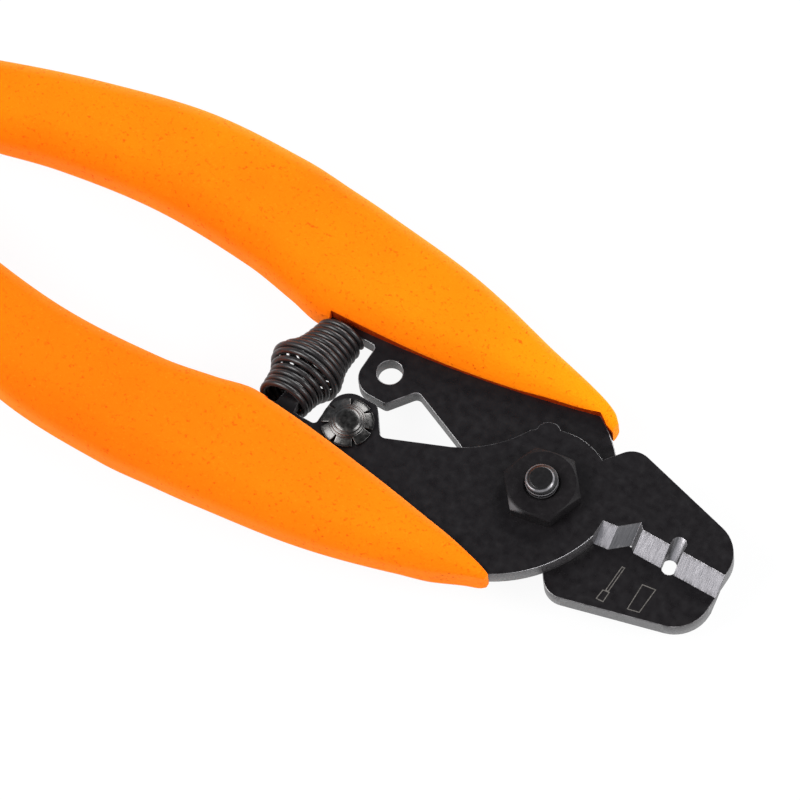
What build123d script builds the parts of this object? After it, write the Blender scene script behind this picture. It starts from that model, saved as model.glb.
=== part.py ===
from build123d import *

import os
from math import cos, radians, sin, sqrt, tan

# Plier-style stripper for fibre jackets, in millimetres. +X runs from the pivot to the tip of the jaws,
# +Y to the side of the front jaw, and +Z along the pivot from the screw's head to its nut. The origin is
# the middle of the flat hexagon head. The two handle plates are one stamping, used twice: the back one
# is the front one turned over about the X line in the parting plane.

# Stack along the pivot
plate_thickness = 2.5
slide_gap = 0.05
head_thickness = 2.4
nut_thickness = 2.3
thread_proud = 1.8

back_low = head_thickness + slide_gap
back_high = back_low + plate_thickness
front_low = back_high + slide_gap
front_high = front_low + plate_thickness
parting = (back_high + front_low) / 2

# Pivot hardware
screw_diameter = 4.3
pivot_clearance = 0.05
thread_clearance = 0.02
hexagon_flats = 9.6
hexagon_turn = 11
hexagon_crown = 9.2
thread_end_diameter = 3.1
nut_mouth = 0.35

# Jaw with its bevelled blade
tip_x = 27.3
jaw_corner = (27.3, 6.6)
jaw_tip_radius = 5.2
jaw_heel = (7.49, 11.79)
jaw_heel_radius = 3.1
blade_overlap = 0.7
blade_run = 2.65
land_start = (9.25, -2.25)
land_end = (11.35, -2.0)
fibre_notch = (13.7, 0.06)
jacket_hole_x = 19.7
jacket_hole_diameter = 2.0

# Disc round the pivot, its half-round lug and the throat between the plates
neck_radius = 9.0
neck_from = 60
neck_to = 132.5
lug_angle = 116.9
lug_distance = 8.3
lug_radius = 1.7
disc_low = (0.2, -14.1)
disc_side = (7.1, -7.4)
throat_curve = (-9.3, 2.3)
throat_tip = (-13.9, -0.9)
throat_corner = (-22.8, -4.6)
throat_radius = 0.9

# Tab that holds the latch pin, with the same hole free as a wire loop hole in the other plate
pin_at = (-27.6, -5.1)
pin_hole_diameter = 3.46
tab_edge_y = -0.8
tab_nose_x = -25.6
tab_nose_radius = 0.8
tab_back_x = -31.3
tab_back_radius = 3.0
relief_radius = 0.6

# Shoulder and finger that carry the end of the return spring
shoulder_y = -7.4
spring_x = -36.2
finger_root = 2.9
finger_tip = 2.0
finger_length = 3.5
shoulder_end_x = -39.3

# Tang inside the grip
tang_neck = (-41.8, -10.6)
tang_inner = (-68.0, -12.6)
tang_end_inner = (-94.0, -8.8)
tang_end_outer = (-95.0, -13.2)
tang_outer = (-50.0, -22.0)
tang_front = (-6.0, -16.2)

# Grip: stations along X with the inner side, the outer side and the thickness
grip_stations = [
    (-105.5, -7.6, -12.2, 4.6),
    (-105.0, -6.4, -13.6, 6.8),
    (-103.6, -5.6, -15.2, 8.6),
    (-98.0, -5.4, -17.6, 9.8),
    (-84.0, -8.6, -22.0, 10.4),
    (-69.0, -10.4, -25.4, 10.6),
    (-54.0, -10.1, -26.0, 10.6),
    (-46.0, -8.9, -25.4, 10.4),
    (-40.5, -7.3, -24.9, 10.2),
    (-24.0, -9.2, -22.7, 9.6),
    (-8.0, -11.8, -18.5, 7.6),
]
front_grip_tip = [
    (-2.0, -13.1, -16.2, 5.4),
    (0.0, -13.9, -15.6, 4.4),
    (0.8, -14.2, -15.2, 3.0),
]
back_grip_tip = [
    (-1.0, -13.4, -16.6, 5.6),
    (2.0, -13.0, -15.2, 4.6),
    (3.1, -12.7, -14.2, 3.2),
]
grip_side_share = 0.42
grip_corner_sides = 3
grip_mouth_heel = (-38.8, -8.1)
grip_mouth_middle = (-14.0, -10.95)
grip_mouth_front = (0.2, -14.1)

# Return spring, barrel shaped
wire_diameter = 0.9
wire_sides = 8
front_end_outside = 7.6
back_end_outside = 7.0
spring_middle_outside = 10.1
front_turns = 4
open_turns = 4
back_turns = 5
close_pitch = 0.96
front_lean = 0.9
middle_lean = 1.3
seat_gap = 0.3
sections_per_turn = 12
wire_look = 0.02

# Latch on the back face, swung about a pin in the front plate's tab
latch_thickness = 1.5
latch_gap = 0.05
latch_hub_diameter = 6.8
latch_arm_width = 4.6
latch_parked = -12
latch_swing = 86
catch_distance = 11.7
catch_diameter = 2.4
catch_clearance = 0.25
catch_height = 1.75
hook_wall = 1.35
thumb_height = 1.6
thumb_thickness = 1.2
thumb_length = 5.0
spacer_diameter = 6.2
pin_clearance = 0.05
pin_head_diameter = 6.6
pin_head_thickness = 1.1
pin_break = 0.3

# Push nut that keeps the pin in the tab
push_nut_diameter = 7.2
push_nut_rise = 0.5
push_nut_metal = 0.4
cap_diameter = 4.8
cap_height = 1.5
pin_proud = 1.0


def blade_edge():
    """Cutting edge at the parting plane: land, fibre notch, edge and jacket hole, out to the tip."""
    edge_y = -blade_overlap
    hole_radius = jacket_hole_diameter / 2
    notch_foot = (fibre_notch[0] + fibre_notch[1] + blade_overlap, edge_y)
    hole_left = jacket_hole_x - hole_radius
    hole_right = jacket_hole_x + hole_radius
    Polyline(land_start, land_end, fibre_notch, notch_foot, (hole_left, edge_y), (hole_left, 0))
    ThreePointArc((hole_left, 0), (jacket_hole_x, hole_radius), (hole_right, 0))
    Polyline((hole_right, 0), (hole_right, edge_y), (tip_x, edge_y))


def on_circle(radius, angle):
    """Point on a circle about the pivot."""
    return (radius * cos(radians(angle)), radius * sin(radians(angle)))


def turned_crown(low, high, crown_at_top):
    """Half section of the turned shape that cuts the corners off a hexagon between two levels."""
    corner = hexagon_flats / sqrt(3) + 0.2
    crown = hexagon_crown / 2
    drop = (corner - crown) * tan(radians(30))
    if crown_at_top:
        return [(0, low), (corner, low), (corner, high - drop), (crown, high), (0, high)]
    return [(0, low), (crown, low), (corner, low + drop), (corner, high), (0, high)]


def cushion_section(width, thickness):
    """Corners of a rectangle whose rounded corners are drawn as a few short sides."""
    radius = grip_side_share * min(width, thickness)
    corners = []
    for quarter in range(4):
        side = -1 if quarter in (1, 2) else 1
        top = 1 if quarter < 2 else -1
        middle = Vector(side * (width / 2 - radius), top * (thickness / 2 - radius))
        for step in range(grip_corner_sides + 1):
            angle = 90 * (quarter + step / grip_corner_sides)
            corners.append(middle + Vector(radius, 0).rotate(Axis.Z, angle))
    return corners


def smooth_step(share):
    """Eases from 0 to 1 as share goes from 0 to 1, and stays at those values outside."""
    held = min(max(share, 0), 1)
    return held * held * (3 - 2 * held)


# Front plate: stamped handle, disc and jaw in one
with BuildPart() as front_plate:
    with BuildSketch(Plane.XY.offset(front_low)) as stamping:
        with BuildLine():
            blade_edge()
            neck_start = on_circle(neck_radius, neck_from)
            neck_end = on_circle(neck_radius, neck_to)
            FilletPolyline(
                (tip_x, -blade_overlap),
                jaw_corner,
                jaw_heel,
                neck_start,
                radius=[jaw_tip_radius, jaw_heel_radius],
            )
            ThreePointArc(neck_start, on_circle(neck_radius, (neck_from + neck_to) / 2), neck_end)
            ThreePointArc(neck_end, throat_curve, throat_tip)
            FilletPolyline(
                throat_tip,
                throat_corner,
                (tab_nose_x, tab_edge_y),
                (tab_back_x, tab_edge_y),
                (tab_back_x, shoulder_y),
                (spring_x + finger_root / 2, shoulder_y),
                radius=[throat_radius, tab_nose_radius, tab_back_radius, relief_radius],
            )
            Polyline(
                (spring_x + finger_root / 2, shoulder_y),
                (spring_x + finger_tip / 2, shoulder_y + finger_length),
                (spring_x - finger_tip / 2, shoulder_y + finger_length),
                (spring_x - finger_root / 2, shoulder_y),
                (shoulder_end_x, shoulder_y),
                tang_neck,
            )
            ThreePointArc(tang_neck, tang_inner, tang_end_inner)
            Line(tang_end_inner, tang_end_outer)
            ThreePointArc(tang_end_outer, tang_outer, tang_front)
            Line(tang_front, disc_low)
            ThreePointArc(disc_low, disc_side, land_start)
        make_face()
        with Locations(on_circle(lug_distance, lug_angle)):
            Circle(lug_radius)
    extrude(amount=plate_thickness)
    with BuildSketch(Plane.XY.offset(front_low)) as bores:
        Circle(screw_diameter / 2 + pivot_clearance)
        with Locations(pin_at):
            Circle(pin_hole_diameter / 2)
    extrude(amount=plate_thickness, mode=Mode.SUBTRACT)
    with BuildSketch(Plane.XY.offset(front_low)) as ground_away:
        with BuildLine():
            blade_edge()
            below = -3 * blade_run
            Polyline((tip_x, -blade_overlap), (tip_x + 1, -blade_overlap), (tip_x + 1, below))
            Polyline((tip_x + 1, below), (land_start[0], below), land_start)
        make_face()
    slope = Vector(0, blade_run, plate_thickness)
    extrude(amount=slope.length, dir=slope.normalized(), mode=Mode.SUBTRACT)
front_plate.part.label = "front_plate"

turned_over = Axis((0, 0, parting), (1, 0, 0))

# Catch for the latch: a half-pierced boss on the back face of the back plate
catch_angle = radians(latch_parked + latch_swing)
catch_at = (pin_at[0] + catch_distance * cos(catch_angle), pin_at[1] + catch_distance * sin(catch_angle))

# Back plate: the same stamping turned over, with the catch
with BuildPart() as back_plate:
    add(front_plate.part.rotate(turned_over, 180))
    with BuildSketch(Plane.XY.offset(back_low)) as catch:
        with Locations(catch_at):
            Circle(catch_diameter / 2)
    extrude(amount=-catch_height)
back_plate.part.label = "back_plate"

# Grips: cushioned sleeves, lofted along the tang, with a mouth that lies along the plate
grip_middle = (front_low + front_high) / 2
grip_reach = max(station[3] for station in grip_stations)


def loft_sleeve(stations):
    """Sleeve lofted through its stations, in the place it has on the front plate."""
    with BuildPart() as sleeve:
        for x, inner, outer, thickness in stations:
            middle = (x, (inner + outer) / 2, grip_middle)
            with BuildSketch(Plane(origin=middle, x_dir=(0, 1, 0), z_dir=(1, 0, 0))):
                with BuildLine():
                    Polyline(*cushion_section(inner - outer, thickness), close=True)
                make_face()
        loft()
        with BuildSketch(Plane.XY.offset(grip_middle - grip_reach)):
            with BuildLine():
                ThreePointArc(grip_mouth_heel, grip_mouth_middle, grip_mouth_front)
                ThreePointArc(grip_mouth_front, disc_side, land_start)
                Polyline(land_start, (land_start[0], 0), (grip_mouth_heel[0], 0), grip_mouth_heel)
            make_face()
        extrude(amount=2 * grip_reach, mode=Mode.SUBTRACT)
        add(front_plate.part, mode=Mode.SUBTRACT)
    return sleeve.part


front_sleeve = loft_sleeve(grip_stations + front_grip_tip)
with BuildPart() as front_grip:
    add(front_sleeve)
front_grip.part.label = "front_grip"

back_sleeve = loft_sleeve(grip_stations + back_grip_tip)
with BuildPart() as back_grip:
    add(back_sleeve.rotate(turned_over, 180))
back_grip.part.label = "back_grip"

# Pivot screw with a low hexagon head on the back
screw_top = front_high + nut_thickness + thread_proud
thread_cut = (screw_diameter - thread_end_diameter) / 2
with BuildPart() as pivot_screw:
    with BuildSketch() as head:
        RegularPolygon(hexagon_flats / 2, 6, major_radius=False, rotation=hexagon_turn)
    extrude(amount=head_thickness)
    with BuildSketch(Plane.XZ) as head_crown:
        with BuildLine():
            Polyline(*turned_crown(0, head_thickness, False), close=True)
        make_face()
    revolve(axis=Axis.Z, mode=Mode.INTERSECT)
    with BuildSketch(Plane.XY.offset(head_thickness)) as shank:
        Circle(screw_diameter / 2)
    extrude(amount=screw_top - head_thickness)
    chamfer(pivot_screw.faces().sort_by(Axis.Z)[-1].edges(), thread_cut)
pivot_screw.part.label = "pivot_screw"

# Pivot nut, thin and crowned, on the front plate
with BuildPart() as pivot_nut:
    with BuildSketch(Plane.XY.offset(front_high)) as nut:
        RegularPolygon(hexagon_flats / 2, 6, major_radius=False, rotation=hexagon_turn)
    extrude(amount=nut_thickness)
    with BuildSketch(Plane.XZ) as nut_crown:
        with BuildLine():
            Polyline(*turned_crown(front_high, front_high + nut_thickness, True), close=True)
        make_face()
    revolve(axis=Axis.Z, mode=Mode.INTERSECT)
    with BuildSketch(Plane.XY.offset(front_high)) as thread:
        Circle(screw_diameter / 2 + thread_clearance)
    extrude(amount=nut_thickness, mode=Mode.SUBTRACT)
    mouth_edge = pivot_nut.faces().sort_by(Axis.Z)[-1].edges().sort_by(SortBy.LENGTH)[0]
    chamfer(mouth_edge, nut_mouth)
pivot_nut.part.label = "pivot_nut"

# Return spring: close turns at both ends over the fingers, wider open turns between them
front_seat = Vector(spring_x, shoulder_y, (front_low + front_high) / 2)
back_seat = Vector(spring_x, -shoulder_y, (back_low + back_high) / 2)
spring_axis = back_seat - front_seat
spring_plane = Plane(origin=front_seat, x_dir=(1, 0, 0), z_dir=spring_axis)
front_end_radius = (front_end_outside - wire_diameter) / 2
back_end_radius = (back_end_outside - wire_diameter) / 2
middle_radius = (spring_middle_outside - wire_diameter) / 2
spring_turns = front_turns + open_turns + back_turns
wire_rise = spring_axis.length - wire_diameter - 2 * seat_gap
open_pitch = (wire_rise - (front_turns + back_turns) * close_pitch) / open_turns


def wire_point(turn):
    """Point on the middle line of the wire after so many turns from the front seat."""
    opened = turn - front_turns
    swell = smooth_step(opened + 0.6)
    settle = smooth_step((opened - open_turns + 0.6) / 1.6)
    radius = front_end_radius + (middle_radius - front_end_radius) * swell
    radius += (back_end_radius - middle_radius) * settle
    lean = front_lean + (middle_lean - front_lean) * swell
    lean -= middle_lean * settle
    height = seat_gap + wire_diameter / 2 + close_pitch * turn
    height += (open_pitch - close_pitch) * min(max(opened, 0), open_turns)
    return Vector(radius, 0, height).rotate(Axis.Z, 360 * turn) - Vector(lean, 0, 0)


with BuildPart() as return_spring:
    for step in range(spring_turns * sections_per_turn + 1):
        turn = step / sections_per_turn
        here = wire_point(turn)
        ahead = wire_point(turn + wire_look) - wire_point(turn - wire_look)
        outward = Vector(1, 0).rotate(Axis.Z, 360 * turn)
        section_plane = spring_plane * Plane(origin=here, x_dir=outward, z_dir=ahead)
        with BuildSketch(section_plane):
            RegularPolygon(wire_diameter / 2, wire_sides)
    loft(ruled=True)
return_spring.part.label = "return_spring"

# Latch lever: hub, arm and a hook whose slot follows the swing, with a thumb rib bent down
latch_high = back_low - latch_gap
latch_low = latch_high - latch_thickness
slot_radius = catch_diameter / 2 + catch_clearance
hook_radius = slot_radius + hook_wall
slot_near = catch_distance - slot_radius
slot_far = catch_distance + slot_radius
slot_sweep = 20
lever_x = (cos(radians(latch_parked)), sin(radians(latch_parked)), 0)
lever_plane = Plane(origin=(*pin_at, latch_low), x_dir=lever_x, z_dir=(0, 0, 1))
with BuildPart() as latch_lever:
    with BuildSketch(lever_plane) as lever:
        Circle(latch_hub_diameter / 2)
        with Locations((catch_distance / 2, 0)):
            Rectangle(catch_distance, latch_arm_width)
        with Locations((catch_distance, 0)):
            Circle(hook_radius)
            Circle(slot_radius, mode=Mode.SUBTRACT)
        Circle(pin_hole_diameter / 2, mode=Mode.SUBTRACT)
        with BuildLine():
            near_side = CenterArc((0, 0), slot_near, 0, slot_sweep)
            far_side = CenterArc((0, 0), slot_far, 0, slot_sweep)
            Line(near_side @ 0, far_side @ 0)
            Line(near_side @ 1, far_side @ 1)
        make_face(mode=Mode.SUBTRACT)
    extrude(amount=latch_thickness)
    with BuildSketch(lever_plane) as thumb:
        with Locations((catch_distance / 2, (thumb_thickness - latch_arm_width) / 2)):
            Rectangle(thumb_length, thumb_thickness)
    extrude(amount=-thumb_height)
latch_lever.part.label = "latch_lever"

# Spacer between the lever and the tab of the front plate, on the level of the back plate
with BuildPart() as latch_spacer:
    with BuildSketch(Plane.XY.offset(back_low)) as spacer:
        with Locations(pin_at):
            Circle(spacer_diameter / 2)
            Circle(pin_hole_diameter / 2, mode=Mode.SUBTRACT)
    extrude(amount=front_low - back_low)
latch_spacer.part.label = "latch_spacer"

# Latch pin: flat head behind the lever, shank through lever, spacer and tab
pin_radius = pin_hole_diameter / 2 - pin_clearance
pin_head_high = latch_low - slide_gap
with BuildPart() as latch_pin:
    with BuildSketch(Plane.XY.offset(pin_head_high - pin_head_thickness)) as pin_head:
        with Locations(pin_at):
            Circle(pin_head_diameter / 2)
    extrude(amount=pin_head_thickness)
    chamfer(latch_pin.faces().sort_by(Axis.Z)[0].edges(), pin_break)
    with BuildSketch(Plane.XY.offset(pin_head_high)) as pin_shank:
        with Locations(pin_at):
            Circle(pin_radius)
    extrude(amount=front_high + pin_proud - pin_head_high)
    chamfer(latch_pin.faces().sort_by(Axis.Z)[-1].edges(), pin_break)
latch_pin.part.label = "latch_pin"

# Push nut: sprung cone washer with a closed cap over the end of the pin
rim_radius = push_nut_diameter / 2
cap_radius = cap_diameter / 2
cap_foot = push_nut_rise + push_nut_metal
cap_inside = cap_height - push_nut_metal
nut_plane = Plane(origin=(*pin_at, front_high), x_dir=(1, 0, 0), z_dir=(0, -1, 0))
with BuildPart() as push_nut:
    with BuildSketch(nut_plane) as nut_section:
        with BuildLine():
            bore = pin_hole_diameter / 2
            Polyline((0, cap_inside), (bore, cap_inside), (bore, push_nut_rise), (rim_radius, 0))
            Polyline((rim_radius, 0), (rim_radius, push_nut_metal), (cap_radius, cap_foot))
            cap_top = (cap_radius - push_nut_metal, cap_height)
            Polyline((cap_radius, cap_foot), (cap_radius, cap_inside), cap_top, (0, cap_height))
            Line((0, cap_height), (0, cap_inside))
        make_face()
    revolve(axis=Axis((*pin_at, 0), (0, 0, 1)))
push_nut.part.label = "push_nut"

pieces = [
    front_plate,
    back_plate,
    front_grip,
    back_grip,
    pivot_screw,
    pivot_nut,
    return_spring,
    latch_lever,
    latch_spacer,
    latch_pin,
    push_nut,
]
os.makedirs("parts", exist_ok=True)
for piece in pieces:
    export_step(piece.part, f"parts/{piece.part.label}.step")
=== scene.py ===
from math import cos, hypot, pi, radians, sin, sqrt

import bmesh
import bpy
from mathutils import Matrix, Vector


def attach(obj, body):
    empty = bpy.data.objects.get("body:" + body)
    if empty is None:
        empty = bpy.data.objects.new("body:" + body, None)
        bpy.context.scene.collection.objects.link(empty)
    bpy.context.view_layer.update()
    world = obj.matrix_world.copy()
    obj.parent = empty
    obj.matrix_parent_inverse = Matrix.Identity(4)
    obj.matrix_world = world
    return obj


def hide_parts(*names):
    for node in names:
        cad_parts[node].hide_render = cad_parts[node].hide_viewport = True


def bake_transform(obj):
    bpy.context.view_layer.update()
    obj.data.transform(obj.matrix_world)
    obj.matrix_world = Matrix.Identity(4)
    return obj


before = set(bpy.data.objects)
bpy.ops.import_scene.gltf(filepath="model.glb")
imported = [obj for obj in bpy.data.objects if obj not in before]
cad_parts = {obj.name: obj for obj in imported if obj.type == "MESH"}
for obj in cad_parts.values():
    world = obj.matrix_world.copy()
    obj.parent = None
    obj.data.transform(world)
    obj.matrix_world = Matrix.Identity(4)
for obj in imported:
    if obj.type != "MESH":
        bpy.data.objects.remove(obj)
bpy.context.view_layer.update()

# Lengths below are in millimetres, as in part.py, and meshes are scaled to metres when they are made.
MM = 0.001

# Levels of the plates, the nut and the screw, as in part.py
BACK_LOW, BACK_HIGH = 2.45, 4.95
FRONT_LOW, FRONT_HIGH = 5.0, 7.5
PARTING = (BACK_HIGH + FRONT_LOW) / 2
NUT_THICKNESS, THREAD_PROUD = 2.3, 1.8
NUT_TOP = FRONT_HIGH + NUT_THICKNESS
SCREW_TOP = NUT_TOP + THREAD_PROUD

# Level of the floor, just below the head of the screw
FLOOR_Z = -1.62


# Meshes

def make_object(name, vertices, faces, smooth=True):
    """A mesh object from points in millimetres."""
    mesh = bpy.data.meshes.new(name)
    mesh.from_pydata([tuple(c * MM for c in v) for v in vertices], [], faces)
    mesh.validate()
    if smooth:
        mesh.shade_smooth()
    obj = bpy.data.objects.new(name, mesh)
    bpy.context.scene.collection.objects.link(obj)
    return obj


def weld(obj, distance=0.004):
    """Joins points that lie on each other, and makes the faces look outwards."""
    work = bmesh.new()
    work.from_mesh(obj.data)
    bmesh.ops.remove_doubles(work, verts=work.verts, dist=distance * MM)
    bmesh.ops.dissolve_degenerate(work, edges=work.edges, dist=distance * MM * 0.5)
    bmesh.ops.recalc_face_normals(work, faces=work.faces)
    work.to_mesh(obj.data)
    work.free()


def skin(rings):
    """Vertices and faces of a tube with closed ends, through rings of equal length."""
    count = len(rings[0])
    vertices = [point for ring in rings for point in ring]
    faces = []
    for row in range(len(rings) - 1):
        for k in range(count):
            a = row * count + k
            b = row * count + (k + 1) % count
            faces.append((a, b, b + count, a + count))
    faces.append(tuple(reversed(range(count))))
    faces.append(tuple(range((len(rings) - 1) * count, len(rings) * count)))
    return vertices, faces


def bevel(obj, width, segments, angle):
    """Rounds the edges of a piece that are sharper than the angle, in degrees."""
    made = obj.modifiers.new("edges", "BEVEL")
    made.width = width * MM
    made.segments = segments
    made.limit_method = "ANGLE"
    made.angle_limit = radians(angle)
    made.harden_normals = False
    made.use_clamp_overlap = True


def soften(obj):
    """Joins a CAD mesh, makes its flat faces whole and breaks its sharp edges."""
    join = obj.modifiers.new("join", "WELD")
    join.merge_threshold = 0.002 * MM
    flat = obj.modifiers.new("flat", "DECIMATE")
    flat.decimate_type = "DISSOLVE"
    flat.angle_limit = radians(1)
    bevel(obj, 0.12, 2, 32)


def turned_over(points):
    """The same points turned half way round the X line in the parting plane."""
    return [(x, -y, 2 * PARTING - z) for x, y, z in points]


def circle_through(a, b, c):
    """Centre and radius of the circle through three points."""
    ax, ay = a
    bx, by = b
    cx, cy = c
    d = 2 * (ax * (by - cy) + bx * (cy - ay) + cx * (ay - by))
    sa, sb, sc = ax * ax + ay * ay, bx * bx + by * by, cx * cx + cy * cy
    ux = (sa * (by - cy) + sb * (cy - ay) + sc * (ay - by)) / d
    uy = (sa * (cx - bx) + sb * (ax - cx) + sc * (bx - ax)) / d
    return (ux, uy), hypot(ax - ux, ay - uy)


def follow(table, x):
    """Smooth value at x from (x, value) pairs, by cubic pieces with matched slopes."""
    if x <= table[0][0]:
        return table[0][1]
    if x >= table[-1][0]:
        return table[-1][1]
    k = max(i for i in range(len(table) - 1) if table[i][0] <= x)

    def slope(i):
        before, after = max(i - 1, 0), min(i + 1, len(table) - 1)
        return (table[after][1] - table[before][1]) / (table[after][0] - table[before][0])

    x0, v0 = table[k]
    x1, v1 = table[k + 1]
    span = x1 - x0
    t = (x - x0) / span
    m0, m1 = slope(k) * span, slope(k + 1) * span
    return (
        v0 * (2 * t**3 - 3 * t**2 + 1) + m0 * (t**3 - 2 * t**2 + t)
        + v1 * (3 * t**2 - 2 * t**3) + m1 * (t**3 - t**2)
    )


def point_between(a, b, share):
    """Point in the plane that lies a share of the way from a to b."""
    return (a[0] + share * (b[0] - a[0]), a[1] + share * (b[1] - a[1]))


# Grips. A station of the front sleeve is x, the y of its inner side, the y of its outer side, its thickness.
GRIP_STATIONS = [
    (-105.5, -7.6, -12.2, 4.6),
    (-105.0, -6.4, -13.6, 6.8),
    (-103.6, -5.6, -15.2, 8.6),
    (-98.0, -5.4, -17.6, 9.8),
    (-84.0, -8.6, -22.0, 10.4),
    (-69.0, -10.4, -25.4, 10.6),
    (-54.0, -9.8, -26.0, 10.6),
    (-46.0, -8.4, -25.4, 10.4),
    (-40.5, -7.3, -24.9, 10.2),
    (-24.0, -9.2, -22.7, 9.6),
    (-8.0, -11.8, -18.5, 7.6),
]
FRONT_TIP = [(-2.4, -13.1, -16.1, 5.4), (-0.5, -13.8, -15.4, 4.4), (0.3, -14.1, -15.0, 3.2)]
BACK_TIP = [(-1.2, -13.4, -16.6, 5.6), (1.7, -13.1, -15.4, 4.8), (2.8, -12.8, -14.4, 3.6)]
GRIP_SIDE_SHARE = 0.42
GRIP_MIDDLE = (FRONT_LOW + FRONT_HIGH) / 2
GRIP_EDGE = 0.28

# Mouth of the sleeve: an arc along the tang, and past its front end the rim of the disc
MOUTH_HEEL = (-38.8, -8.1)
MOUTH_MIDDLE = (-14.0, -10.95)
MOUTH_FRONT = (0.2, -14.1)
DISC_POINTS = (MOUTH_FRONT, (7.1, -7.4), (9.25, -2.25))
MOUTH_LEAST_DEPTH = 0.06

# Fineness of the sleeve's skin
END_REACH, TIP_REACH = 4, 3
END_ROWS, PLAIN_ROWS, MOUTH_ROWS = 12, 64, 48
CORNER_STEPS = 24
SIDE_POINTS, WALL_POINTS = 72, 14
FIRST_WALL_FACE = SIDE_POINTS - 2
# Slots for the faces of the mouth's wall and of the heel's end wall, whose materials carry painted shade
MOUTH_SLOT, HEEL_SLOT = 1, 2


def mouth_y(x):
    """Y of the mouth's wall at x, along the mouth's arc and then the disc."""
    if x <= MOUTH_FRONT[0]:
        centre, radius = circle_through(MOUTH_HEEL, MOUTH_MIDDLE, MOUTH_FRONT)
        return centre[1] + sqrt(radius**2 - (x - centre[0]) ** 2)
    centre, radius = circle_through(*DISC_POINTS)
    return centre[1] - sqrt(radius**2 - (x - centre[0]) ** 2)


def grip_outline(stations, x):
    """Half outline of the uncut sleeve at x, from the middle of its inner side to that of its outer side."""
    inner, outer, thickness = (follow([(s[0], s[k]) for s in stations], x) for k in (1, 2, 3))
    radius = GRIP_SIDE_SHARE * min(inner - outer, thickness)
    half = thickness / 2
    points = [(inner, 0)]
    for start, centre in ((0, inner - radius), (90, outer + radius)):
        for step in range(CORNER_STEPS + 1):
            angle = radians(start + 90 * step / CORNER_STEPS)
            points.append((centre + radius * cos(angle), half - radius + radius * sin(angle)))
    points.append((outer, 0))
    return points


def spread(points, count):
    """Points at even steps along a line of points."""
    lengths = [0.0]
    for a, b in zip(points, points[1:]):
        lengths.append(lengths[-1] + hypot(b[0] - a[0], b[1] - a[1]))
    result = []
    k = 0
    for step in range(count):
        target = lengths[-1] * step / (count - 1)
        while k < len(points) - 2 and lengths[k + 1] < target:
            k += 1
        run = lengths[k + 1] - lengths[k]
        share = (target - lengths[k]) / run if run > 0 else 0
        result.append(point_between(points[k], points[k + 1], share))
    return result


def split_outline(outline, y_cut=None, z_cut=None):
    """Parts the half outline where it crosses y_cut, or where it rises through z_cut."""
    for k in range(len(outline) - 1):
        a, b = outline[k], outline[k + 1]
        if y_cut is not None and a[0] > y_cut >= b[0]:
            share = (a[0] - y_cut) / (a[0] - b[0])
        elif z_cut is not None and a[1] < z_cut <= b[1]:
            share = (z_cut - a[1]) / (b[1] - a[1])
        else:
            continue
        cut = point_between(a, b, share)
        return outline[: k + 1] + [cut], [cut] + outline[k + 1:]
    return outline[:1], outline


def grip_ring(stations, x, cut):
    """Ring of the sleeve at x: round its outer side from the top of the inner side, then back over that."""
    outline = grip_outline(stations, x)
    if cut:
        wall_y = min(mouth_y(x), outline[0][0] - MOUTH_LEAST_DEPTH)
        outside = split_outline(outline, y_cut=wall_y)[1]
        inside = [(wall_y, 0), outside[0]]
    else:
        heel_outline = grip_outline(stations, MOUTH_HEEL[0])
        heel_corner = split_outline(heel_outline, y_cut=MOUTH_HEEL[1])[1][0]
        share = heel_corner[1] / max(z for y, z in heel_outline)
        inside, outside = split_outline(outline, z_cut=share * max(z for y, z in outline))
    upper = spread(outside, SIDE_POINTS // 2)
    wall = spread(inside, WALL_POINTS // 2)
    lower = [(y, -z) for y, z in reversed(upper[:-1])]
    wall_low = [(y, -z) for y, z in reversed(wall[1:-1])]
    return [(x, y, GRIP_MIDDLE + z) for y, z in upper + lower + wall_low + wall[:-1]]


def grip_rows(start, end):
    """Places of the rings along the sleeve: those behind the heel of the mouth, and those from it on."""
    heel = MOUTH_HEEL[0]
    quarter = [pi / 2 * step / END_ROWS for step in range(END_ROWS + 1)]
    whole = [start + (1 - cos(angle)) * END_REACH for angle in quarter]
    run = heel - start - END_REACH
    whole += [start + END_REACH + run * step / PLAIN_ROWS for step in range(1, PLAIN_ROWS + 1)]
    run = end - TIP_REACH - heel
    cut = [heel + run * step / MOUTH_ROWS for step in range(MOUTH_ROWS + 1)]
    cut += [end - TIP_REACH + TIP_REACH * sin(angle) for angle in quarter[1:]]
    return whole, cut


def grip(name, body, node, tip, over):
    """One cushioned sleeve with its mouth along the plate."""
    stations = GRIP_STATIONS + tip
    whole, cut = grip_rows(stations[0][0], stations[-1][0])
    rings = [grip_ring(stations, x, False) for x in whole] + [grip_ring(stations, x, True) for x in cut]
    if over:
        rings = [turned_over(ring) for ring in rings]
    piece = make_object(name, *skin(rings))
    count = len(rings[0])
    for face in piece.data.polygons[: (len(rings) - 1) * count]:
        row, place = divmod(face.index, count)
        if place >= FIRST_WALL_FACE and row >= len(whole) - 1:
            face.material_index = MOUTH_SLOT if row >= len(whole) else HEEL_SLOT
    weld(piece)
    bevel(piece, GRIP_EDGE, 3, 38)
    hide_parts(node)
    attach(piece, body)
    return piece


# Return spring. Its radii and its lean off the axis are given by turn, counted from the front shoulder.
WIRE = 0.9
SPRING_X = -36.2
SHOULDER_Y = -7.4
FRONT_TURNS, OPEN_TURNS, BACK_TURNS = 4, 5, 5
CLOSE_PITCH = 0.96
SEAT_GAP = 0.3
BARREL_RADII = [
    (0, 3.6), (2, 3.8), (3.8, 4.1), (5, 4.7), (6.3, 5.35),
    (7.5, 5.0), (8.6, 4.4), (10, 3.95), (12, 3.65), (14, 3.5),
]
LEANS = [(0, 1.15), (3, 1.1), (6.3, 1.15), (8.6, 0.8), (14, 0.2)]
STEPS_A_TURN = 44
WIRE_SIDES = 14
SHORT_TURN = 0.004


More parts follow.
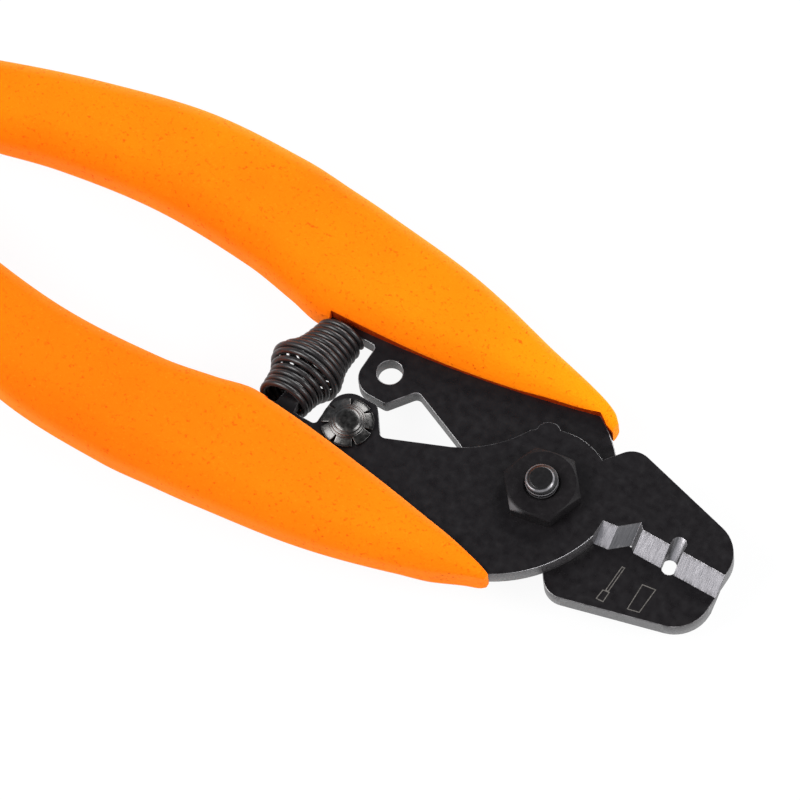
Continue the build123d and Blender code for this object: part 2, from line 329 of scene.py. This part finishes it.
def spring_piece():
    """Round wire on the barrel-shaped line of the CAD spring."""
    front = Vector((SPRING_X, SHOULDER_Y, (FRONT_LOW + FRONT_HIGH) / 2))
    back = Vector((SPRING_X, -SHOULDER_Y, (BACK_LOW + BACK_HIGH) / 2))
    axis = back - front
    along = axis.normalized()
    side = Vector((1, 0, 0))
    third = along.cross(side)
    turns = FRONT_TURNS + OPEN_TURNS + BACK_TURNS
    rise = axis.length - WIRE - 2 * SEAT_GAP
    open_pitch = (rise - (FRONT_TURNS + BACK_TURNS) * CLOSE_PITCH) / OPEN_TURNS

    def centre(turn):
        height = SEAT_GAP + WIRE / 2 + CLOSE_PITCH * turn
        height += (open_pitch - CLOSE_PITCH) * min(max(turn - FRONT_TURNS, 0), OPEN_TURNS)
        return front + along * height - side * follow(LEANS, turn)

    def point(turn):
        radius = follow(BARREL_RADII, turn) - WIRE / 2
        angle = 2 * pi * turn
        return centre(turn) + side * radius * cos(angle) + third * radius * sin(angle)

    around = [2 * pi * k / WIRE_SIDES for k in range(WIRE_SIDES)]
    rings = []
    for step in range(turns * STEPS_A_TURN + 1):
        turn = step / STEPS_A_TURN
        middle = point(turn)
        ahead = (point(turn + SHORT_TURN) - point(turn - SHORT_TURN)).normalized()
        outward = (middle - centre(turn)).normalized()
        up = ahead.cross(outward).normalized()
        rings.append([tuple(middle + (outward * cos(a) + up * sin(a)) * WIRE / 2) for a in around])
    piece = make_object("return_spring_wire", *skin(rings))
    weld(piece, 0.001)
    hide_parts("return_spring")
    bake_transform(piece)
    return piece


# Thread of the pivot screw, above the nut
THREAD_PITCH = 0.79
THREAD_START_GAP, THREAD_END_GAP = 0.05, 0.38
THREAD_START = NUT_TOP + THREAD_START_GAP
THREAD_TURNS = (SCREW_TOP - THREAD_END_GAP - NUT_TOP) / THREAD_PITCH
SCREW_RADIUS = 4.3 / 2
SCREW_CUT = 0.6
RIDGE_HEIGHT, RIDGE_ROOT = 0.09, -0.1
RIDGE_CREST, RIDGE_FOOT = 0.05, 0.26
RIDGE_STEPS, RIDGE_FADE = 96, 8


def thread_piece():
    """Ridge of the thread, right handed, round the end of the screw that stands proud of the nut."""
    rings = []
    for step in range(RIDGE_STEPS + 1):
        turn = THREAD_TURNS * step / RIDGE_STEPS
        angle = 2 * pi * turn
        z = THREAD_START + THREAD_PITCH * turn
        height = RIDGE_HEIGHT * min(step / RIDGE_FADE, (RIDGE_STEPS - step) / RIDGE_FADE, 1)
        below = [(-RIDGE_FOOT, RIDGE_ROOT), (-RIDGE_CREST, height)]
        above = [(RIDGE_CREST, height), (RIDGE_FOOT, RIDGE_ROOT)]
        ring = []
        for dz, rise in below + above:
            radius = SCREW_RADIUS + rise - max(0, z + dz - (SCREW_TOP - SCREW_CUT))
            ring.append((radius * cos(angle), radius * sin(angle), z + dz))
        rings.append(ring)
    piece = make_object("screw_thread_ridge", *skin(rings))
    weld(piece, 0.001)
    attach(piece, "front_handle")
    return piece


# Push nut. Its profiles are pairs of a radius and a height over the front plate.
PIN_AT = (-27.6, -5.1)
CAP_TOP = [
    (0.05, 1.48), (0.8, 1.46), (1.3, 1.42), (1.6, 1.34), (1.8, 1.22), (1.88, 1.12), (1.94, 1.1),
    (2.12, 1.07), (2.2, 0.98), (2.24, 0.93), (2.3, 0.91), (2.42, 0.88), (2.52, 0.82),
]
CAP_UNDER = [(2.42, 0.52), (2.0, 0.6), (1.76, 0.72), (1.72, 1.05), (0.6, 1.12), (0.3, 1.12)]
CAP_SIDES = 64
PETAL_TOP = [(2.3, 0.86), (2.6, 0.76), (2.95, 0.62), (3.25, 0.5), (3.45, 0.44), (3.58, 0.45)]
PETALS = 7
PETAL_TURN = 8
PETAL_METAL = 0.28
PETAL_UNEVENNESS = 0.10
PETAL_STEPS = 12
SLOT_ROOT, SLOT_MOUTH = 0.03, 0.55


def over_pin(radius, angle, height):
    """Point at a radius and angle round the pin, at a height over the front plate."""
    return (PIN_AT[0] + radius * cos(angle), PIN_AT[1] + radius * sin(angle), FRONT_HIGH + height)


def petal_rings(petal):
    """Rings across one petal, from one of its slots to the next."""
    middle = radians(PETAL_TURN + 360 * (petal + 0.5) / PETALS)
    lift = PETAL_UNEVENNESS * sin(2.4 * petal + 0.6)
    inside, outside = PETAL_TOP[0][0], PETAL_TOP[-1][0]
    rings = []
    for step in range(PETAL_STEPS + 1):
        across = 2 * step / PETAL_STEPS - 1
        top = []
        for radius, height in PETAL_TOP:
            gone = (radius - inside) / (outside - inside)
            half = pi / PETALS - 0.5 * (SLOT_ROOT + SLOT_MOUTH * gone) / radius
            top.append((radius, middle + across * half, height + lift * gone * gone))
        under = [(radius, angle, height - PETAL_METAL) for radius, angle, height in reversed(top)]
        rings.append([over_pin(*point) for point in top + under])
    return rings


def push_nut_piece():
    """Sprung star washer with a stepped cap: the cap is turned, and each petal is a sector of its own."""
    around = [2 * pi * k / CAP_SIDES for k in range(CAP_SIDES)]
    rings = [[over_pin(radius, angle, height) for angle in around] for radius, height in CAP_TOP + CAP_UNDER]
    vertices, faces = skin(rings)
    for petal in range(PETALS):
        more, sides = skin(petal_rings(petal))
        first = len(vertices)
        vertices += more
        faces += [tuple(first + corner for corner in face) for face in sides]
    piece = make_object("push_nut_star", vertices, faces)
    weld(piece, 0.001)
    bevel(piece, 0.05, 2, 40)
    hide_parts("push_nut")
    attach(piece, "front_handle")
    return piece


# Etched outlines on the lower jaw, as corners in plan
ETCHED = {
    "etched_stem": [(14.26, -3.15), (14.63, -3.09), (14.55, -7.07), (14.17, -7.10)],
    "etched_foot": [(13.85, -7.29), (14.75, -7.15), (14.75, -8.71), (13.72, -8.77)],
    "etched_block": [(17.93, -3.94), (19.83, -3.69), (19.68, -7.56), (18.06, -7.96)],
}
ETCHED_WIDTH = 0.13
ETCHED_LOW, ETCHED_HIGH = BACK_HIGH - 0.01, BACK_HIGH + 0.012


def etched_outline(name, corners):
    """Closed flat frame with mitred corners on the front of the back plate, along corners given in plan."""
    count = len(corners)
    vertices, faces = [], []
    for k, corner in enumerate(corners):
        here = Vector(corner)
        before = (here - Vector(corners[k - 1])).normalized()
        after = (Vector(corners[(k + 1) % count]) - here).normalized()
        left_before, left_after = Vector((-before.y, before.x)), Vector((-after.y, after.x))
        mitre = (left_before + left_after) / (1 + left_before.dot(left_after)) * ETCHED_WIDTH / 2
        vertices += [(*(here - mitre), ETCHED_LOW), (*(here - mitre), ETCHED_HIGH)]
        vertices += [(*(here + mitre), ETCHED_HIGH), (*(here + mitre), ETCHED_LOW)]
        ahead = (k + 1) % count
        for side in range(4):
            across = (side + 1) % 4
            faces.append((4 * k + side, 4 * k + across, 4 * ahead + across, 4 * ahead + side))
    piece = make_object(name, vertices, faces, smooth=False)
    weld(piece, 0.0001)
    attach(piece, "back_handle")
    return piece


# Materials. Colours are linear red, green and blue, and a pair of them is the darker and the lighter tone.
# Painted shade and painted light: the front sleeve's pair is a shaded copy, and the back sleeve's pair a lit
# copy, of one orange
SLEEVE_SHADED_TONES = (0.93, 0.128, 0.001), (1.0, 0.182, 0.0015)
SLEEVE_LIT_TONES = (0.93, 0.145, 0.001), (1.0, 0.24, 0.0015)
# Painted shade: dark red for the mouth's wall, and deeper red for the heel's end wall
SLEEVE_MOUTH_PAINTED_SHADE = (0.24, 0.018, 0.0004), (0.32, 0.024, 0.0005)
SLEEVE_HEEL_PAINTED_SHADE = (0.95, 0.085, 0.003), (1.0, 0.11, 0.004)
# Painted rim highlight: paler orange where the sleeve turns away from view
SLEEVE_PAINTED_RIM_HIGHLIGHT = (1.0, 0.36, 0.05)
SLEEVE_PIT = (0.52, 0.055, 0.001)
SLEEVE_FLECK = (1.0, 0.27, 0.01)
# Where the painted light along the sleeve reaches its palest, near the tip
SLEEVE_PAINTED_LIGHT_TO = -4

BLACKENED = (0.0036, 0.0026, 0.0034), (0.0052, 0.0040, 0.0050)
# Grit of the walls, lightened grey as a painted reflection of the pale floor and lights
WALL_GRIT_AND_PAINTED_REFLECTION = (0.015, 0.013, 0.014), (0.085, 0.081, 0.083)
GROUND = (0.34, 0.325, 0.34), (0.52, 0.50, 0.52)
# Painted shade for the ground facets that turn lengthwise
GROUND_PAINTED_SHADE = (0.13, 0.125, 0.13), (0.24, 0.235, 0.24)
SCRATCHED = (0.06, 0.056, 0.056)
# Rub wear on the edges, lightened as a painted edge highlight
RUBBED_EDGE_AND_PAINTED_HIGHLIGHT = (0.18, 0.17, 0.175)
# Near-white line on the disc rim: rub wear with a painted glint
MEETING_WEAR_AND_PAINTED_GLINT = (0.85, 0.83, 0.85)

SPRING_BLACK = (0.011, 0.0095, 0.010), (0.022, 0.020, 0.020)
HARDWARE_BLACK = (0.0085, 0.0075, 0.0082), (0.0145, 0.0132, 0.014)
SPRING_STEEL = (0.085, 0.083, 0.081), (0.17, 0.165, 0.162)
SCREW_BLACK = (0.007, 0.0065, 0.007)
# Bare thread crests, lightened as a painted highlight
WORN_CREST_AND_PAINTED_HIGHLIGHT = (0.33, 0.32, 0.33)
# Painted highlight on the nut's chamfer near one corner
NUT_PAINTED_HIGHLIGHT = (0.085, 0.082, 0.084)
ETCHED_BEIGE = (0.05, 0.046, 0.042), (0.13, 0.12, 0.11)
FLOOR_WHITE = (0.86, 0.86, 0.86)
ROOM_WHITE = (0.9, 0.94, 1.0)

# Where the blade is ground, in x, across from the jaw's edge and up from the parting plane
BLADE_X = (9.27, 27.28)
BLADE_ACROSS = (-3.2, 4.2)
BLADE_PAST_HOLE = 21.2
BLADE_SLOPE, BLADE_SLOPE_START = 1.06, -0.35
BLADE_FLATTEST = 0.97

# Rim of the front disc where the jaws meet, worn by their rubbing and painted near white as a glint
MEETING_X = (1.5, 6.0, 9.3)
MEETING_ACROSS = -2.2
MEETING_LEVEL = 1.2

# Crown of the nut, and its corner where a highlight is painted on the chamfer
NUT_CROWN = 4.8
NUT_CHAMFER = 0.75
NUT_CORNER_RADIUS, NUT_CORNER_TURN = 5.54, radians(-109)
NUT_CORNER = (NUT_CORNER_RADIUS * cos(NUT_CORNER_TURN), NUT_CORNER_RADIUS * sin(NUT_CORNER_TURN))
NUT_HIGHLIGHT_REACH = (2.2, 0.6)

SHADER_SOCKETS = {
    "colour": "Base Color",
    "rough": "Roughness",
    "metallic": "Metallic",
    "specular": "Specular IOR Level",
    "normal": "Normal",
}


class Nodes:
    """Short calls for the nodes that the materials use."""

    def __init__(self, tree):
        self.tree = tree

    def add(self, kind, **values):
        """A new node with its settings."""
        node = self.tree.nodes.new(kind)
        for key, value in values.items():
            setattr(node, key, value)
        return node

    def link(self, source, target):
        """Links an output to an input."""
        self.tree.links.new(source, target)

    def put(self, target, value):
        """Gives an input a socket, a number or a colour without its alpha."""
        if isinstance(value, bpy.types.NodeSocket):
            self.link(value, target)
        else:
            target.default_value = (*value, 1) if isinstance(value, tuple) else value

    def set_shader(self, shader, **values):
        """Gives the shader's own sockets their values, by the names in SHADER_SOCKETS."""
        for key, value in values.items():
            self.put(shader.inputs[SHADER_SOCKETS[key]], value)

    def where(self):
        """Position in the row frame at rest, in millimetres."""
        place = self.add("ShaderNodeTexCoord")
        scale = self.add("ShaderNodeVectorMath", operation="SCALE")
        scale.inputs["Scale"].default_value = 1 / MM
        self.link(place.outputs["Object"], scale.inputs[0])
        return scale.outputs[0]

    def parts(self, vector):
        """The x, y and z of a vector."""
        split = self.add("ShaderNodeSeparateXYZ")
        self.link(vector, split.inputs[0])
        return split.outputs

    def math(self, operation, a, b=0.0):
        """Result of a sum on sockets or numbers."""
        node = self.add("ShaderNodeMath", operation=operation)
        self.put(node.inputs[0], a)
        self.put(node.inputs[1], b)
        return node.outputs[0]

    def times(self, first, *others):
        """Product of sockets or numbers."""
        for other in others:
            first = self.math("MULTIPLY", first, other)
        return first

    def rest(self, share):
        """What a share leaves of one."""
        return self.math("SUBTRACT", 1.0, share)

    def above(self, value, limit):
        """1 where the value is over the limit, and 0 elsewhere."""
        return self.math("GREATER_THAN", value, limit)

    def below(self, value, limit):
        """1 where the value is under the limit, and 0 elsewhere."""
        return self.math("LESS_THAN", value, limit)

    def reach(self, a, b):
        """Length of the vector with sides a and b."""
        return self.math("SQRT", self.math("ADD", self.times(a, a), self.times(b, b)))

    def stretch(self, vector, scale, turn=(0, 0, 0)):
        """A vector scaled along each axis and turned by degrees."""
        node = self.add("ShaderNodeMapping")
        node.inputs["Scale"].default_value = scale
        node.inputs["Rotation"].default_value = [radians(a) for a in turn]
        self.link(vector, node.inputs["Vector"])
        return node.outputs[0]

    def noise(self, vector, scale, detail=3.0, rough=0.5):
        """Soft noise, with its scale in waves to the millimetre."""
        node = self.add("ShaderNodeTexNoise")
        self.link(vector, node.inputs["Vector"])
        node.inputs["Scale"].default_value = scale
        node.inputs["Detail"].default_value = detail
        node.inputs["Roughness"].default_value = rough
        return node.outputs["Fac"]

    def ramp(self, value, low, high, at_low=0.0, at_high=1.0):
        """Even change from at_low to at_high while the value goes from low to high."""
        node = self.add("ShaderNodeMapRange", clamp=True)
        self.put(node.inputs["Value"], value)
        node.inputs["From Min"].default_value = low
        node.inputs["From Max"].default_value = high
        node.inputs["To Min"].default_value = at_low
        node.inputs["To Max"].default_value = at_high
        return node.outputs[0]

    def mix(self, share, a, b):
        """Colour between a and b."""
        node = self.add("ShaderNodeMix", data_type="RGBA")
        self.put(node.inputs["Factor"], share)
        self.put(node.inputs[6], a)
        self.put(node.inputs[7], b)
        return node.outputs[2]

    def blend(self, share, a, b):
        """Number between a and b."""
        node = self.add("ShaderNodeMix", data_type="FLOAT")
        self.put(node.inputs["Factor"], share)
        self.put(node.inputs[2], a)
        self.put(node.inputs[3], b)
        return node.outputs[0]

    def bump(self, height, distance, strength=1.0):
        """Normal that a height in millimetres gives."""
        node = self.add("ShaderNodeBump")
        node.inputs["Strength"].default_value = strength
        node.inputs["Distance"].default_value = distance * MM
        self.link(height, node.inputs["Height"])
        return node.outputs[0]

    def mixed_shader(self, share, a, b):
        """Shader between a and b."""
        node = self.add("ShaderNodeMixShader")
        self.link(share, node.inputs[0])
        self.link(a.outputs[0], node.inputs[1])
        self.link(b.outputs[0], node.inputs[2])
        return node.outputs[0]


def new_material(name):
    """A node material, the calls for its nodes, and its shader."""
    made = bpy.data.materials.new(name)
    made.use_nodes = True
    made.node_tree.nodes.clear()
    n = Nodes(made.node_tree)
    out = n.add("ShaderNodeOutputMaterial")
    shader = n.add("ShaderNodeBsdfPrincipled")
    n.link(shader.outputs["BSDF"], out.inputs["Surface"])
    return made, n, shader


def cushion_material(name, tones, rim=0.6, painted_light_from=-60):
    """Orange foam-like sleeve: matte, finely pitted, in patches, with painted light that makes it paler to
    its tip and a painted rim highlight where it turns away.
    """
    made, n, shader = new_material(name)
    place = n.where()
    patches = n.noise(place, 0.05, 3.0)
    grain = n.noise(place, 2.6, 5.0, 0.62)
    pits = n.noise(place, 1.7, 4.0, 0.65)
    # Painted light: the tone mixes random patches with a ramp that grows paler towards the tip
    along = n.ramp(n.parts(place)[0], painted_light_from, SLEEVE_PAINTED_LIGHT_TO)
    share = n.math("ADD", n.times(n.ramp(patches, 0.35, 0.65), 0.35), n.times(along, 0.65))
    colour = n.mix(share, *tones)
    # Painted rim highlight: the colour grows paler where the surface turns away, by the share rim
    turning = n.add("ShaderNodeLayerWeight")
    turning.inputs["Blend"].default_value = 0.35
    painted_rim_mask = n.ramp(turning.outputs["Facing"], 0.25, 0.95)
    colour = n.mix(n.times(painted_rim_mask, rim), colour, SLEEVE_PAINTED_RIM_HIGHLIGHT)
    speck = n.times(n.ramp(pits, 0.56, 0.66), n.ramp(grain, 0.42, 0.58))
    colour = n.mix(n.times(speck, 0.8), colour, SLEEVE_PIT)
    colour = n.mix(n.times(n.ramp(grain, 0.42, 0.3), 0.25), colour, SLEEVE_FLECK)
    height = n.math("ADD", n.times(grain, 0.6), n.times(pits, 0.6))
    n.set_shader(shader, colour=colour, rough=0.85, specular=0.05, normal=n.bump(height, 0.22, 0.8))
    return made


def blade_mask(n, place, x, across, level, upright):
    """1 on the ground slope of the blade, with small nicks along its borders, and 0 elsewhere."""
    slope = n.math("ADD", n.times(level, BLADE_SLOPE), BLADE_SLOPE_START)
    past_hole = n.times(n.above(x, BLADE_PAST_HOLE), n.above(across, slope))
    ground = n.times(
        n.above(x, BLADE_X[0]), n.below(x, BLADE_X[1]), n.below(across, BLADE_ACROSS[1]), n.rest(past_hole),
        n.above(across, BLADE_ACROSS[0]), n.below(upright, BLADE_FLATTEST),
    )
    nick = n.noise(n.stretch(place, (6.0, 0.5, 0.5)), 1.0, 2.0, 0.5)
    border = n.math("MAXIMUM", n.ramp(level, 2.15, 2.5), n.ramp(level, 0.55, 0.05))
    return n.times(ground, n.rest(n.times(border, n.ramp(nick, 0.47, 0.57), 0.9)))


def blackened_tone(n, place, mottle, x, across, level, upright):
    """Colour of the blackened plate: scratched faces, gritty walls lightened as a painted reflection, rubbed
    edges lightened as a painted highlight, and a disc rim worn and painted with a glint.
    """
    wall = n.ramp(upright, 0.5, 0.3)
    edge = n.times(n.ramp(upright, 0.3, 0.5), n.ramp(upright, 0.985, 0.95))
    scratch = n.noise(n.stretch(place, (0.7, 14.0, 1.0), (0, 0, 35)), 1.0, 3.0, 0.6)
    mark = n.times(n.ramp(scratch, 0.71, 0.75), n.ramp(n.noise(place, 0.35, 2.0), 0.52, 0.62))
    black = n.mix(n.ramp(mottle, 0.3, 0.7), *BLACKENED)
    black = n.mix(n.times(mark, 0.5), black, SCRATCHED)
    grit = n.noise(place, 5.0, 4.0, 0.7)
    # Walls get grit lightened grey as a painted reflection
    black = n.mix(wall, black, n.mix(n.ramp(grit, 0.35, 0.65), *WALL_GRIT_AND_PAINTED_REFLECTION))
    # Edges are rubbed in patches and lightened as a painted highlight
    rubbed = n.times(edge, n.ramp(n.noise(place, 1.1, 4.0), 0.4, 0.6, 0.25, 0.9))
    black = n.mix(rubbed, black, RUBBED_EDGE_AND_PAINTED_HIGHLIGHT)
    # Where the jaws meet, the top edge of the disc rim is worn and painted near white as a glint
    start, full, end = MEETING_X
    meeting = n.times(
        n.ramp(x, start, full), n.below(x, end), n.below(across, MEETING_ACROSS), edge,
        n.above(level, MEETING_LEVEL),
    )
    return n.mix(meeting, black, MEETING_WEAR_AND_PAINTED_GLINT)


def steel_material(name, sign):
    """Blackened plate with its ground blade. sign is 1 for the front plate and -1 for the one turned over."""
    made, n, shader = new_material(name)
    place = n.where()
    x, y, z = n.parts(place)
    across = n.times(y, sign)
    level = n.times(n.math("SUBTRACT", z, PARTING), sign)
    geometry = n.add("ShaderNodeNewGeometry")
    local = n.add(
        "ShaderNodeVectorTransform", vector_type="NORMAL", convert_from="WORLD", convert_to="OBJECT",
    )
    n.link(geometry.outputs["True Normal"], local.inputs[0])
    lengthwise, upright = (n.math("ABSOLUTE", n.parts(local.outputs[0])[k]) for k in (0, 2))
    ground = blade_mask(n, place, x, across, level, upright)

    # Striations of the grinding wheel run up the slope
    lines = n.noise(n.stretch(place, (15.0, 0.4, 0.4)), 1.0, 3.0, 0.6)
    streak = n.ramp(lines, 0.3, 0.7)
    # Ground facets that turn lengthwise take a darker copy of the silver as painted shade
    silver = n.mix(n.ramp(lengthwise, 0.25, 0.45), n.mix(streak, *GROUND), n.mix(streak, *GROUND_PAINTED_SHADE))
    mottle = n.noise(place, 0.8, 4.0)
    black = blackened_tone(n, place, mottle, x, across, level, upright)
    rough = n.blend(ground, n.ramp(mottle, 0.3, 0.7, 0.26, 0.34), n.ramp(lines, 0.3, 0.7, 0.30, 0.5))
    height = n.blend(ground, n.times(mottle, 0.3), lines)
    n.set_shader(
        shader, colour=n.mix(ground, black, silver), metallic=n.times(ground, 0.9), rough=rough,
        specular=0.75, normal=n.bump(height, 0.02, 0.5),
    )
    return made


def painted_corner_highlight(n, place, corner):
    """1 on the nut's chamfer near one of its corners, where a highlight is painted, fading to 0 away from it.
    """
    x, y, z = n.parts(place)
    away = n.reach(n.math("SUBTRACT", x, corner[0]), n.math("SUBTRACT", y, corner[1]))
    chamfer = n.ramp(n.reach(x, y), NUT_CROWN - 0.1, NUT_CROWN + 0.1)
    return n.times(n.ramp(away, *NUT_HIGHLIGHT_REACH), chamfer, n.above(z, NUT_TOP - NUT_CHAMFER))


def plain_metal(name, tones, rough, specular, metallic=0.0, scale=1.2, highlight_at=None):
    """Small metal pieces: a dark finish with mottling and fine wear, and a grey painted highlight on one
    corner if given.
    """
    made, n, shader = new_material(name)
    place = n.where()
    mottle = n.noise(place, scale, 5.0, 0.6)
    fine = n.noise(place, scale * 7, 3.0)
    colour = n.mix(n.times(n.ramp(mottle, 0.45, 0.7), n.ramp(fine, 0.4, 0.6)), *tones)
    # Painted highlight in grey on the chamfer near one corner
    if highlight_at:
        colour = n.mix(painted_corner_highlight(n, place, highlight_at), colour, NUT_PAINTED_HIGHLIGHT)
    n.set_shader(
        shader, colour=colour, rough=n.ramp(mottle, 0.3, 0.7, rough - 0.05, rough + 0.08), metallic=metallic,
        specular=specular, normal=n.bump(mottle, 0.02, 0.4),
    )
    return made


def thread_metal(name):
    """Screw: plain on its head, with the crests of the thread worn bare and lightened as a painted highlight
    above the nut.
    """
    made, n, shader = new_material(name)
    place = n.where()
    x, y, z = n.parts(place)
    turn = n.math("DIVIDE", n.math("ARCTAN2", y, x), 2 * pi)
    rise = n.math("SUBTRACT", n.math("DIVIDE", n.math("SUBTRACT", z, THREAD_START), THREAD_PITCH), turn)
    phase = n.math("FRACT", n.math("ADD", rise, 0.5))
    crest = n.rest(n.times(n.math("ABSOLUTE", n.math("SUBTRACT", phase, 0.5)), 2.0))
    outside = n.times(n.ramp(n.reach(x, y), 1.50, 1.62), n.above(z, NUT_TOP - 0.4))
    mottle = n.noise(place, 2.0, 4.0)
    # Crests are worn bare and lightened grey as a painted highlight
    worn = n.times(n.ramp(crest, 0.6, 0.95), outside, n.ramp(mottle, 0.3, 0.6, 0.5, 1.0))
    n.set_shader(
        shader, colour=n.mix(worn, SCREW_BLACK, WORN_CREST_AND_PAINTED_HIGHLIGHT), metallic=n.times(worn, 0.9),
        rough=n.ramp(mottle, 0.3, 0.7, 0.28, 0.4), specular=0.35, normal=n.bump(mottle, 0.02, 0.4),
    )
    return made


def faint_line_material():
    """Etched line on the blackened plate: a thin, uneven, beige grey."""
    made, n, shader = new_material("etched_line")
    wear = n.noise(n.where(), 3.0, 4.0, 0.7)
    n.set_shader(shader, colour=n.mix(n.ramp(wear, 0.35, 0.65), *ETCHED_BEIGE), rough=0.7, specular=0.2)
    return made


def floor_material():
    """Pale paper that shows almost white to the camera, so that only soft shadows are left on it."""
    made, n, shader = new_material("floor")
    n.set_shader(shader, colour=FLOOR_WHITE, rough=0.9)
    glow = n.add("ShaderNodeEmission")
    glow.inputs["Strength"].default_value = 1.0
    path = n.add("ShaderNodeLightPath")
    seen = n.math("MAXIMUM", path.outputs["Is Camera Ray"], path.outputs["Is Transmission Ray"])
    share = n.math("MAXIMUM", n.times(seen, 0.93), n.times(path.outputs["Is Glossy Ray"], 0.5))
    out = next(node for node in made.node_tree.nodes if node.type == "OUTPUT_MATERIAL")
    n.link(n.mixed_shader(share, shader, glow), out.inputs["Surface"])
    return made


def dress(node, material):
    """Gives a CAD node its material."""
    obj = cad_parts[node]
    obj.data.materials.clear()
    obj.data.materials.append(material)


# Pieces and what they are dressed in
front_grip = grip("front_grip_sleeve", "front_handle", "front_grip", FRONT_TIP, False)
back_grip = grip("back_grip_sleeve", "back_handle", "back_grip", BACK_TIP, True)
spring = spring_piece()
push_nut_star = push_nut_piece()

# The front sleeve wears the shaded copy of the orange and the back sleeve the lit copy, as painted shade and
# painted light
deep = cushion_material("orange_cushion", SLEEVE_SHADED_TONES)
light = cushion_material("orange_cushion_light", SLEEVE_LIT_TONES, rim=0.75, painted_light_from=-36)
# The mouth's wall and the heel's end wall take painted shade in dark and deeper red
mouth = cushion_material("cushion_mouth", SLEEVE_MOUTH_PAINTED_SHADE, rim=0.0)
heel = cushion_material("cushion_heel", SLEEVE_HEEL_PAINTED_SHADE, rim=0.0)
for piece, outside in ((front_grip, deep), (back_grip, light)):
    for material in (outside, mouth, heel):
        piece.data.materials.append(material)

spring.data.materials.append(plain_metal("spring_wire", SPRING_BLACK, 0.34, 0.5))
dress("front_plate", steel_material("front_plate_steel", 1))
dress("back_plate", steel_material("back_plate_steel", -1))
hardware = plain_metal("black_hardware", HARDWARE_BLACK, 0.42, 0.1)
for node in ("latch_pin", "latch_spacer", "latch_lever"):
    dress(node, hardware)
dress("pivot_nut", plain_metal("nut_metal", HARDWARE_BLACK, 0.42, 0.08, highlight_at=NUT_CORNER))
screw_metal = thread_metal("screw_thread")
dress("pivot_screw", screw_metal)
thread_piece().data.materials.append(screw_metal)
star_steel = plain_metal("spring_steel", SPRING_STEEL, 0.3, 0.5, metallic=1.0, scale=2.0)
push_nut_star.data.materials.append(star_steel)
dress("push_nut", star_steel)

line = faint_line_material()
for name, corners in ETCHED.items():
    etched_outline(name, corners).data.materials.append(line)

for node in ("front_plate", "back_plate", "pivot_nut", "pivot_screw", "latch_lever", "latch_pin"):
    soften(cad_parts[node])


# Camera, fitted to the photograph: its angles in degrees, and the pixel of the pivot in the parting plane
AZIMUTH, ELEVATION, ROLL = 40.1, 64.7, -8.4
PIXELS_PER_MM = 7.507
IMAGE = 800
PIVOT_PIXEL = (543.7, 498.1)
DISTANCE = 1200.0
SENSOR = 36

# Soft lights: azimuth and elevation in degrees, then distance and size in metres, and power in watts
SOFTBOXES = {
    "key": (-43.2, 48, 0.7, (0.45, 0.35), 5.0),
    "fill": (101.8, 35, 0.7, (0.35, 0.3), 3.0),
    "back": (178, 28, 0.8, (0.5, 0.3), 5.0),
}
LIGHT_AIM = Vector((-0.02, 0, 0.005))
FLOOR_HALF = 1500


def camera():
    """Camera at the photograph's angle, far enough away to leave almost no perspective."""
    az, el, roll = radians(AZIMUTH), radians(ELEVATION), radians(ROLL)
    look = Vector((-sin(az) * cos(el), cos(az) * cos(el), -sin(el)))
    level = Vector((cos(az), sin(az), 0))
    steep = level.cross(look)
    right = level * cos(roll) + steep * sin(roll)
    up = steep * cos(roll) - level * sin(roll)
    pivot = Vector((0, 0, PARTING))
    du = (IMAGE / 2 - PIVOT_PIXEL[0]) / PIXELS_PER_MM
    dv = (PIVOT_PIXEL[1] - IMAGE / 2) / PIXELS_PER_MM
    target = pivot + right * du + up * dv
    made = bpy.data.cameras.new("camera")
    made.sensor_width = SENSOR
    made.lens = SENSOR * DISTANCE / (IMAGE / PIXELS_PER_MM)
    made.clip_start = 0.01
    made.clip_end = 10
    obj = bpy.data.objects.new("camera", made)
    bpy.context.scene.collection.objects.link(obj)
    axes = Matrix((right, up, -look)).transposed().to_4x4()
    obj.matrix_world = Matrix.Translation((target - look * DISTANCE) * MM) @ axes
    bpy.context.scene.camera = obj


def softbox(name, azimuth, elevation, distance, size, power):
    """Area light that looks at the object, with its azimuth as for the camera."""
    az, el = radians(azimuth), radians(elevation)
    made = bpy.data.lights.new(name, "AREA")
    made.shape = "RECTANGLE"
    made.size, made.size_y = size
    made.energy = power
    obj = bpy.data.objects.new(name, made)
    bpy.context.scene.collection.objects.link(obj)
    away = Vector((sin(az) * cos(el), -cos(az) * cos(el), sin(el)))
    obj.location = LIGHT_AIM + away * distance
    obj.rotation_euler = away.to_track_quat("Z", "Y").to_euler()


def lay_floor():
    """Plain pale floor under the tool."""
    sides = ((-1, -1), (1, -1), (1, 1), (-1, 1))
    corners = [(x * FLOOR_HALF, y * FLOOR_HALF, FLOOR_Z) for x, y in sides]
    floor = make_object("floor", corners, [(0, 1, 2, 3)], smooth=False)
    floor.data.materials.append(floor_material())


def studio():
    """White round the camera's view, and a soft room that is brighter low down where gloss sees it."""
    world = bpy.data.worlds.new("studio")
    bpy.context.scene.world = world
    world.use_nodes = True
    world.node_tree.nodes.clear()
    n = Nodes(world.node_tree)
    out = n.add("ShaderNodeOutputWorld")
    white = n.add("ShaderNodeBackground")
    white.inputs["Strength"].default_value = 1.0
    room = n.add("ShaderNodeBackground")
    n.put(room.inputs["Color"], ROOM_WHITE)
    path = n.add("ShaderNodeLightPath")
    rise = n.parts(n.add("ShaderNodeTexCoord").outputs["Generated"])[2]
    seen_in_gloss = n.ramp(rise, 0.1, 0.75, 0.85, 0.06)
    n.link(n.blend(path.outputs["Is Glossy Ray"], 0.42, seen_in_gloss), room.inputs["Strength"])
    n.link(n.mixed_shader(path.outputs["Is Camera Ray"], room, white), out.inputs["Surface"])


camera()
lay_floor()
studio()
for name, place in SOFTBOXES.items():
    softbox(name, *place)
bpy.context.scene.view_settings.view_transform = "Standard"
